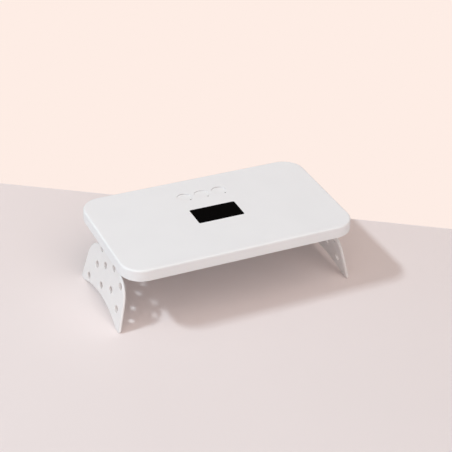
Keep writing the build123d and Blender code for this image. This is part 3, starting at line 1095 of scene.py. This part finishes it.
@dataclass
class Studio:
    """A long cool light on the left, a soft warm one in front, floor and backdrop."""

    key_power: float = 68.3
    key_turn_deg: float = 176.6
    key_elevation_deg: float = 50.4
    key_distance: float = 4.0
    key_depth: float = 0.24
    key_length: float = 0.64
    key_colour: RGB = (0.797, 0.922, 1.0)
    front_strength: float = 1.31
    front_turn_deg: float = 262.0
    front_elevation_deg: float = 54.0
    front_softness_deg: float = 66.0
    front_colour: RGB = (1.0, 0.812, 0.731)
    fill_strength: float = 0.397
    fill_colour: RGB = (0.826, 0.927, 1.0)
    floor_tone: RGB = (0.876, 0.8, 0.783)
    floor_second_share: float = 0.988
    floor_mottle_scale: float = 6.0
    floor_roughness: float = 0.6
    floor_gloss: float = 0.15
    floor_drop: float = 0.0002
    floor_reach: float = 3.0
    wall_tone: RGB = (0.991, 0.847, 0.783)
    wall_bounce: RGB = (0.24, 0.21, 0.19)
    wall_roughness: float = 0.9
    wall_left: tuple[float, float] = (-0.101, 0.201)
    wall_right: tuple[float, float] = (0.206, 0.0025)
    wall_reach: float = 1.2
    wall_height: float = 2.0

    def light(self) -> None:
        """Add the long key light on the left, the soft front light and the faint cool world.

        Rays from the camera, off gloss and through glass see the world in the wall's tone.
        """
        key = bpy.data.lights.new("key", "AREA")
        key.shape = "RECTANGLE"
        key.size, key.size_y = self.key_length, self.key_depth
        key.energy, key.color = self.key_power, self.key_colour
        self._hang(key, self.key_turn_deg, self.key_elevation_deg)
        front = bpy.data.lights.new("front", "SUN")
        front.energy, front.color = self.front_strength, self.front_colour
        front.angle = radians(self.front_softness_deg)
        self._hang(front, self.front_turn_deg, self.front_elevation_deg)
        world = bpy.data.worlds.new("studio")
        world.use_nodes = True
        shading = Shading(world.node_tree)
        fill = world.node_tree.nodes["Background"]
        fill.inputs["Color"].default_value = rgba(self.fill_colour)
        fill.inputs["Strength"].default_value = self.fill_strength
        pale = shading.node("ShaderNodeBackground", Color=rgba(self.wall_tone), Strength=1.0)
        seen = shading.node("ShaderNodeMixShader")
        shading.join(self._is_seen(shading), seen.inputs[0])
        shading.join(fill.outputs[0], seen.inputs[1])
        shading.join(pale.outputs[0], seen.inputs[2])
        shading.join(seen.outputs[0], world.node_tree.nodes["World Output"].inputs["Surface"])
        bpy.context.scene.world = world

    def _hang(self, lamp: bpy.types.Light, turn_deg: float, elevation_deg: float) -> None:
        """Hang a lamp at the key light's distance, facing the middle, its length level.

        Args:
            lamp: the lamp.
            turn_deg: way to it from the middle, from +X towards +Y.
            elevation_deg: its height angle.
        """
        turn, rise = radians(turn_deg), radians(elevation_deg)
        towards = Vector((cos(rise) * cos(turn), cos(rise) * sin(turn), sin(rise)))
        hung = bpy.data.objects.new(lamp.name, lamp)
        hung.rotation_euler = towards.to_track_quat("Z", "Y").to_euler()
        hung.location = towards * self.key_distance
        bpy.context.scene.collection.objects.link(hung)

    def stage(self) -> None:
        """Add the floor and the upright backdrop behind the lamp."""
        reach, low = self.floor_reach, -self.floor_drop
        sides = ((-reach, -reach), (reach, -reach), (reach, reach), (-reach, reach))
        self._plane("floor", [(*side, low) for side in sides], self._floor_paint())
        left, right = np.array(self.wall_left), np.array(self.wall_right)
        along = (right - left) / np.linalg.norm(right - left) * self.wall_reach
        first, last = left - along, right + along
        high = self.wall_height
        corners = [(*first, 0.0), (*last, 0.0), (*last, high), (*first, high)]
        self._plane("backdrop", corners, self._wall_paint())

    @staticmethod
    def _plane(name: str, corners: list[tuple[float, ...]], paint: bpy.types.Material) -> None:
        """Add one flat stage piece.

        Args:
            name: its name.
            corners: its four corners, anticlockwise seen from its front.
            paint: its material.
        """
        points = np.array(corners, dtype=float)
        piece = Surface(points, np.array([[0, 1, 2, 3]]), np.zeros((0, 3), int)).to_object(name)
        piece.data.materials.append(paint)

    def _floor_paint(self) -> bpy.types.Material:
        """Matt paint with a faint, wide mottle; nothing of it shows from below.

        Returns:
            The material. The mottle is noise between the tone and a slightly darker one.
        """
        material, shading, bsdf = new_material("floor_paint")
        place = shading.node("ShaderNodeTexCoord").outputs["Object"]
        share = shading.spread(shading.noise(place, self.floor_mottle_scale), 0.0, 1.0)
        tones = [shading.node("ShaderNodeRGB").outputs[0] for _ in range(2)]
        tones[0].default_value = rgba(self.floor_tone)
        tones[1].default_value = rgba(
            tuple(self.floor_second_share * part for part in self.floor_tone)
        )
        shading.join(shading.blend(share, *tones), bsdf.inputs["Base Color"])
        bsdf.inputs["Roughness"].default_value = self.floor_roughness
        bsdf.inputs["Specular IOR Level"].default_value = self.floor_gloss
        self._one_sided(material, shading, bsdf.outputs[0])
        return material

    @staticmethod
    def _is_seen(shading: Shading) -> Socket:
        """Tell rays that show a thing to the eye from those that only light it.

        Args:
            shading: helper on the material's or the world's tree.

        Returns:
            1 for rays from the camera, off gloss and through glass, 0 for all others.
        """
        path = shading.node("ShaderNodeLightPath")
        either = shading.node("ShaderNodeMath", operation="MAXIMUM")
        shading.join(path.outputs["Is Camera Ray"], either.inputs[0])
        shading.join(path.outputs["Is Glossy Ray"], either.inputs[1])
        seen = shading.node("ShaderNodeMath", operation="MAXIMUM")
        shading.join(either.outputs[0], seen.inputs[0])
        shading.join(path.outputs["Is Transmission Ray"], seen.inputs[1])
        return seen.outputs[0]

    @staticmethod
    def _one_sided(material: bpy.types.Material, shading: Shading, front: Socket) -> None:
        """Show a shader on the front of its faces and let rays from behind pass.

        Args:
            material: the material.
            shading: helper on its tree.
            front: the shader.
        """
        sided = shading.node("ShaderNodeMixShader")
        shading.join(shading.node("ShaderNodeNewGeometry").outputs["Backfacing"], sided.inputs[0])
        shading.join(front, sided.inputs[1])
        shading.join(shading.node("ShaderNodeBsdfTransparent").outputs[0], sided.inputs[2])
        output = material.node_tree.nodes["Material Output"]
        shading.join(sided.outputs[0], output.inputs["Surface"])

    def _wall_paint(self) -> bpy.types.Material:
        """Even paint, as seen directly or in a reflection; nothing shows from behind.

        Returns:
            The material. Rays from the camera, off gloss and through glass see the tone
            itself, others a duller matt surface.
        """
        material, shading, bsdf = new_material("backdrop_paint")
        bsdf.inputs["Base Color"].default_value = rgba(self.wall_bounce)
        bsdf.inputs["Roughness"].default_value = self.wall_roughness
        even = shading.node("ShaderNodeEmission", Color=rgba(self.wall_tone), Strength=1.0)
        front = shading.node("ShaderNodeMixShader")
        shading.join(self._is_seen(shading), front.inputs[0])
        shading.join(bsdf.outputs[0], front.inputs[1])
        shading.join(even.outputs[0], front.inputs[2])
        self._one_sided(material, shading, front.outputs[0])
        return material


def main() -> None:
    """Dress the lamp, then light it and set the camera."""
    logging.basicConfig(level=logging.INFO, format="%(name)s: %(message)s")
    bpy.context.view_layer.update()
    finishes = Finishes(SharedEffects())
    PackedNodes(finishes).dress()
    for name in ("left_button", "middle_button", "right_button"):
        PushButton(name, finishes).build()
    for end in End:
        FoldingLeg(end, finishes).build()
    EmitterField(finishes).build()
    studio = Studio()
    studio.light()
    studio.stage()
    Viewpoint().place()
    bpy.context.scene.view_settings.view_transform = "Standard"


if __name__ == "__main__":
    main()
